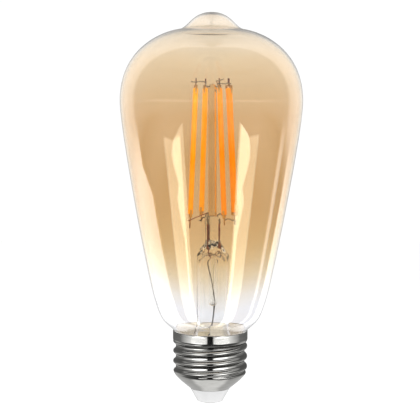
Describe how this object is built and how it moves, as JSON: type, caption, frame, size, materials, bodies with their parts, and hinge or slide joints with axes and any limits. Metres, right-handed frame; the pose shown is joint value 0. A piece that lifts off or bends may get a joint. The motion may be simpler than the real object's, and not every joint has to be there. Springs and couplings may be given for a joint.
{
  "type": "smart light bulb",
  "caption": "Pear-shaped amber glass bulb with LED filament sticks on a glass stem, a nickel screw base and a wireless driver inside the base.",
  "frame": {"origin": "on the axis, at the lowest face of the centre contact", "axes": "+Z runs from the base tip up through the glass; -Y faces the viewer in the usual front view; +X is to the right"},
  "size_m": [0.064, 0.064, 0.1375],
  "materials": {
    "amber_glass": "polished, amber coating inside that fades to clear near the base",
    "clear_glass": "fire-polished",
    "nickel_wire": "drawn",
    "seal_wire": "oxidised copper cladding",
    "dark_wire": "dull drawn",
    "nickel_shell": "bright nickel plate",
    "milk_insulator": "smooth, slightly milky",
    "contact_metal": "nickel plate",
    "cement": "rough, unglazed",
    "board_cream": "solder mask",
    "board_white": "solder mask",
    "tinned_metal": "tin plate",
    "gold_pins": "flash plated",
    "black_moulding": "moulded, fine sparkle grain",
    "ferrite": "sintered",
    "copper_winding": "enamelled",
    "capacitor_sleeve": "shrunk film",
    "film_case": "dipped resin",
    "chip_ceramic": "fired",
    "resistor_body": "painted ceramic",
    "red_sleeve": "shrunk tube",
    "live_insulation": "extruded",
    "neutral_insulation": "extruded",
    "carrier_strip": "fired",
    "led_chips": "etched",
    "phosphor_coating": "cast silicone with phosphor powder",
    "tab_metal": "stamped"
  },
  "bodies": {
    "root": {"glass_envelope": "amber_glass", "stem_flare_tube": "clear_glass", "exhaust_tube": "clear_glass", "support_rod": "clear_glass", "left_inner_lead": "nickel_wire", "left_seal_wire": "seal_wire", "left_outer_lead": "dark_wire", "right_inner_lead": "nickel_wire", "right_seal_wire": "seal_wire", "right_outer_lead": "dark_wire", "left_top_wire": "dark_wire", "right_top_wire": "dark_wire", "top_link_wire": "dark_wire", "low_wire_1": "seal_wire", "low_wire_2": "dark_wire", "filament_1_strip": "carrier_strip", "filament_1_chips": "led_chips", "filament_1_coating": "phosphor_coating", "filament_1_top_tab": "tab_metal", "filament_1_low_tab": "tab_metal", "filament_2_strip": "carrier_strip", "filament_2_chips": "led_chips", "filament_2_coating": "phosphor_coating", "filament_2_top_tab": "tab_metal", "filament_2_low_tab": "tab_metal", "filament_3_strip": "carrier_strip", "filament_3_chips": "led_chips", "filament_3_coating": "phosphor_coating", "filament_3_top_tab": "tab_metal", "filament_3_low_tab": "tab_metal", "filament_4_strip": "carrier_strip", "filament_4_chips": "led_chips", "filament_4_coating": "phosphor_coating", "filament_4_top_tab": "tab_metal", "filament_4_low_tab": "tab_metal", "screw_shell": "nickel_shell", "base_insulator": "milk_insulator", "centre_contact": "contact_metal", "basing_cement": "cement", "driver_board": "board_cream", "wireless_board": "board_white", "wireless_shield": "tinned_metal", "board_pins": "gold_pins", "bridge_rectifier": "black_moulding", "driver_chip": "black_moulding", "coil_core": "ferrite", "coil_winding": "copper_winding", "coil_leads": "copper_winding", "smoothing_capacitor": "capacitor_sleeve", "capacitor_leads": "tinned_metal", "film_capacitor": "film_case", "chip_parts": "chip_ceramic", "fuse_resistor": "resistor_body", "resistor_lead": "tinned_metal", "resistor_sleeve": "red_sleeve", "live_wire": "live_insulation", "neutral_wire": "neutral_insulation"}
  },
  "joints": []
}
